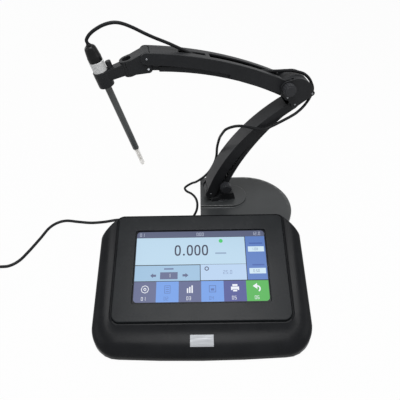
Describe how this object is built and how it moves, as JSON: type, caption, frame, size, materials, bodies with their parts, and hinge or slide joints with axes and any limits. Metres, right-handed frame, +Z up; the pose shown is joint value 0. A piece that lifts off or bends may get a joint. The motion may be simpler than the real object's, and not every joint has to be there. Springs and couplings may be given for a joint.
{
  "type": "bench pH meter with electrode arm",
  "caption": "Touch-screen bench meter with a sloping panel, and an electrode on a folding parallelogram arm on a weighted stand behind it.",
  "frame": {"origin": "on the underside of the stand's anti-slip sheet, where the arm's swivel axis meets the table", "axes": "X to the user's right, Y away from the user, Z up"},
  "size_m": [0.4943, 0.2988, 0.2775],
  "materials": {
    "housing_plastic": "fine grained charcoal moulding",
    "bezel_plastic": "satin grey moulding",
    "arm_plastic": "satin black moulding",
    "base_plastic": "satin dark moulding",
    "moulded_black": "plain black moulding",
    "pale_plastic": "smooth pale grey label band",
    "shaft_epoxy": "smooth grey epoxy tube",
    "glass": "clear",
    "display_metal": "display module with its metal frame",
    "board": "circuit board laminate",
    "rubber": "matte black",
    "steel": "bright",
    "plated_metal": "nickel plated"
  },
  "bodies": {
    "meter_and_base": {"lower_housing": "housing_plastic", "upper_housing": "housing_plastic", "display_bezel": "bezel_plastic", "touch_glass": "glass", "lcd_module": "display_metal", "main_board": "board", "rubber_feet": "rubber", "housing_screws": "steel", "rear_panel": "moulded_black", "bnc_socket": "plated_metal", "spare_socket": "plated_metal", "temperature_jack": "moulded_black", "data_port": "plated_metal", "power_socket": "moulded_black", "switch_case": "moulded_black", "base_pad": "rubber", "base_weight": "steel", "base_cover": "base_plastic", "base_screws": "steel", "swivel_bolt": "steel", "swivel_washer": "steel", "cable_to_meter": "rubber", "bnc_plug": "plated_metal", "power_plug": "moulded_black", "power_cord": "rubber", "power_cord_coil": "rubber", "cord_tie": "rubber", "power_adapter": "moulded_black"},
    "swivel_foot": {"swivel_foot": "arm_plastic", "foot_pin": "steel", "foot_nut": "steel", "cable_hanging": "rubber"},
    "foot_knob": {"foot_knob": "arm_plastic", "foot_stud": "steel"},
    "lower_arm": {"lower_arm": "arm_plastic"},
    "lower_link": {"lower_link": "arm_plastic", "cable_down_arm": "rubber"},
    "elbow_bracket": {"elbow_bracket": "arm_plastic", "elbow_rivets": "steel", "elbow_pin": "steel", "elbow_nut": "steel", "upper_link_pin": "steel", "cable_elbow": "rubber"},
    "elbow_knob": {"elbow_knob": "arm_plastic", "elbow_stud": "steel"},
    "upper_arm": {"upper_arm": "arm_plastic", "wrist_pin": "steel", "cable_loop": "rubber"},
    "upper_link": {"upper_link": "arm_plastic"},
    "holder": {"electrode_holder": "arm_plastic", "wrist_link_pin": "steel", "electrode_collar": "pale_plastic", "electrode_cap": "arm_plastic", "cable_gland": "arm_plastic", "electrode_shaft": "shaft_epoxy", "electrode_tip": "glass", "sensor_element": "plated_metal"},
    "power_switch": {"power_switch": "moulded_black"}
  },
  "joints": [
    {"name": "base_swivel", "type": "hinge", "parent": "meter_and_base", "child": "swivel_foot", "pos_m": [0, 0, 0], "axis": [0, 0, 1], "range_deg": [-90, 90], "deforming": ["cable_to_meter"]},
    {"name": "lower_tilt", "type": "hinge", "parent": "swivel_foot", "child": "lower_link", "pos_m": [0.00253, 0.00045, 0.04536], "axis": [0.1736, -0.9848, 0], "range_deg": [-8, 28], "deforming": ["cable_hanging"]},
    {"name": "lower_arm_tilt", "type": "hinge", "parent": "swivel_foot", "child": "lower_arm", "pos_m": [-0.01773, -0.00313, 0.033], "axis": [0.1736, -0.9848, 0], "range_deg": [-8, 28]},
    {"name": "elbow_level", "type": "hinge", "parent": "lower_link", "child": "elbow_bracket", "pos_m": [0.10675, 0.01882, 0.1784], "axis": [0.1736, -0.9848, 0], "range_deg": [-28, 8], "deforming": ["cable_down_arm"]},
    {"name": "upper_tilt", "type": "hinge", "parent": "elbow_bracket", "child": "upper_arm", "pos_m": [0.07468, 0.01317, 0.18904], "axis": [-0.1736, 0.9848, 0], "range_deg": [-25, 25], "deforming": ["cable_elbow"]},
    {"name": "upper_link_tilt", "type": "hinge", "parent": "elbow_bracket", "child": "upper_link", "pos_m": [0.07575, 0.01336, 0.17659], "axis": [-0.1736, 0.9848, 0], "range_deg": [-25, 25]},
    {"name": "wrist_level", "type": "hinge", "parent": "upper_arm", "child": "holder", "pos_m": [-0.08731, -0.0154, 0.23933], "axis": [-0.1736, 0.9848, 0], "range_deg": [-25, 25], "deforming": ["cable_loop"]},
    {"name": "foot_knob_turn", "type": "hinge", "parent": "swivel_foot", "child": "foot_knob", "pos_m": [0.00253, 0.00045, 0.04536], "axis": [0.1736, -0.9848, 0], "range_deg": [-180, 180]},
    {"name": "elbow_knob_turn", "type": "hinge", "parent": "elbow_bracket", "child": "elbow_knob", "pos_m": [0.07468, 0.01317, 0.18904], "axis": [0.1736, -0.9848, 0], "range_deg": [-180, 180]},
    {"name": "power_switch_rock", "type": "hinge", "parent": "meter_and_base", "child": "power_switch", "pos_m": [0.0335, -0.096, 0.027], "axis": [1, 0, 0], "range_deg": [0, 14]}
  ],
  "couplings": [
    {"joint": "lower_arm_tilt", "follows": "lower_tilt", "ratio": 1},
    {"joint": "elbow_level", "follows": "lower_tilt", "ratio": -1},
    {"joint": "upper_link_tilt", "follows": "upper_tilt", "ratio": 1},
    {"joint": "wrist_level", "follows": "upper_tilt", "ratio": -1}
  ]
}
